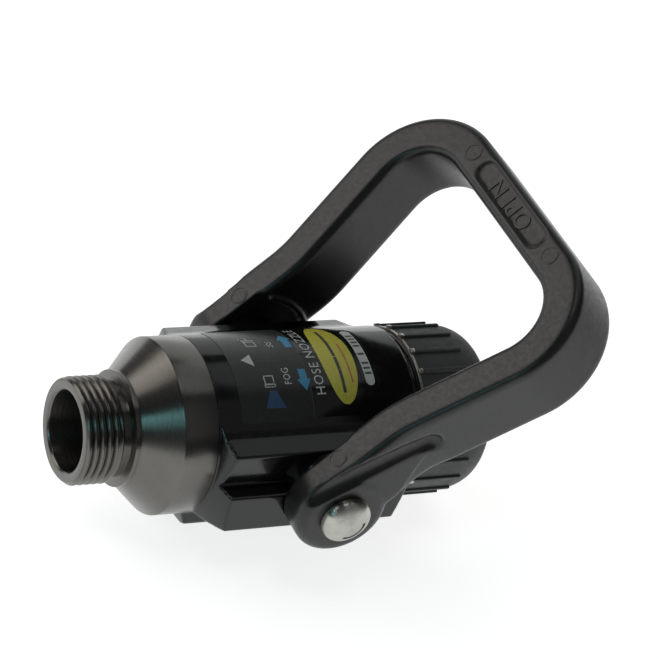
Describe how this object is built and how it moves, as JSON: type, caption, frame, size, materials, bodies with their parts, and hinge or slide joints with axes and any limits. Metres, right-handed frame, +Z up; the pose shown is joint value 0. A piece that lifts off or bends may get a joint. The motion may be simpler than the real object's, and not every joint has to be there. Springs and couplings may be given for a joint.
{
  "type": "fire hose nozzle",
  "caption": "Shut-off fog nozzle for a fire hose: threaded inlet, ball valve worked by a swinging bail handle, and a turning rubber-covered pattern sleeve.",
  "frame": {"origin": "centre of the inlet end face, on the waterway's axis", "axes": "+X along the waterway from the inlet to the mouth, +Z up away from the flat base, +Y to the far side, along the handle's pivot"},
  "size_m": [0.1502, 0.1132, 0.1156],
  "materials": {
    "anodised": "black anodised, turned, satin",
    "moulded_shell": "black moulded plastic, gloss",
    "handle_nylon": "black glass-filled nylon, satin with fine grain",
    "bumper_rubber": "dark grey-green rubber, matte",
    "polished_screw": "polished",
    "core_alloy": "clear anodised",
    "barrel_alloy": "black anodised",
    "brass_parts": "machined",
    "steel_parts": "machined stainless",
    "seal_rubber": "nitrile, smooth",
    "seat_polymer": "white low-friction polymer",
    "ring_plastic": "black acetal",
    "label_film": "dark grey printed film, satin",
    "yellow_film": "yellow vinyl film",
    "white_film": "off-white film"
  },
  "bodies": {
    "nozzle_body": {"inlet_adapter": "anodised", "adapter_seal": "seal_rubber", "rear_seat": "seat_polymer", "body_shell": "moulded_shell", "front_seat": "seat_polymer", "front_barrel": "barrel_alloy", "barrel_retainer": "brass_parts", "stem_spider": "brass_parts", "baffle_stem": "steel_parts", "baffle": "brass_parts", "stem_nut": "steel_parts", "snap_ring": "steel_parts", "spray_label": "label_film", "blank_sticker": "yellow_film", "serial_sticker": "white_film"},
    "bail": {"ball": "steel_parts", "trunnion_near": "steel_parts", "trunnion_far": "steel_parts", "trunnion_seal_near": "seal_rubber", "trunnion_seal_far": "seal_rubber", "thrust_washer_near": "seat_polymer", "thrust_washer_far": "seat_polymer", "bail_handle": "handle_nylon", "pivot_screw_near": "polished_screw", "pivot_screw_far": "polished_screw"},
    "turning_ring": {"index_ring": "ring_plastic"},
    "sleeve": {"sleeve_core": "core_alloy", "cam_pins": "steel_parts", "sleeve_seal": "seal_rubber", "bumper": "bumper_rubber"}
  },
  "joints": [
    {"name": "bail_swing", "type": "hinge", "parent": "nozzle_body", "child": "bail", "pos_m": [0.0757, 0, 0], "axis": [0, -1, 0], "range_deg": [0, 90]},
    {"name": "sleeve_turn", "type": "hinge", "parent": "nozzle_body", "child": "turning_ring", "pos_m": [0.11, 0, 0], "axis": [-1, 0, 0], "range_deg": [0, 135]},
    {"name": "sleeve_slide", "type": "slide", "parent": "turning_ring", "child": "sleeve", "axis": [1, 0, 0], "range_m": [0, 0.005]}
  ],
  "couplings": [
    {"joint": "sleeve_slide", "follows": "sleeve_turn", "m_per_rad": 0.002122}
  ]
}
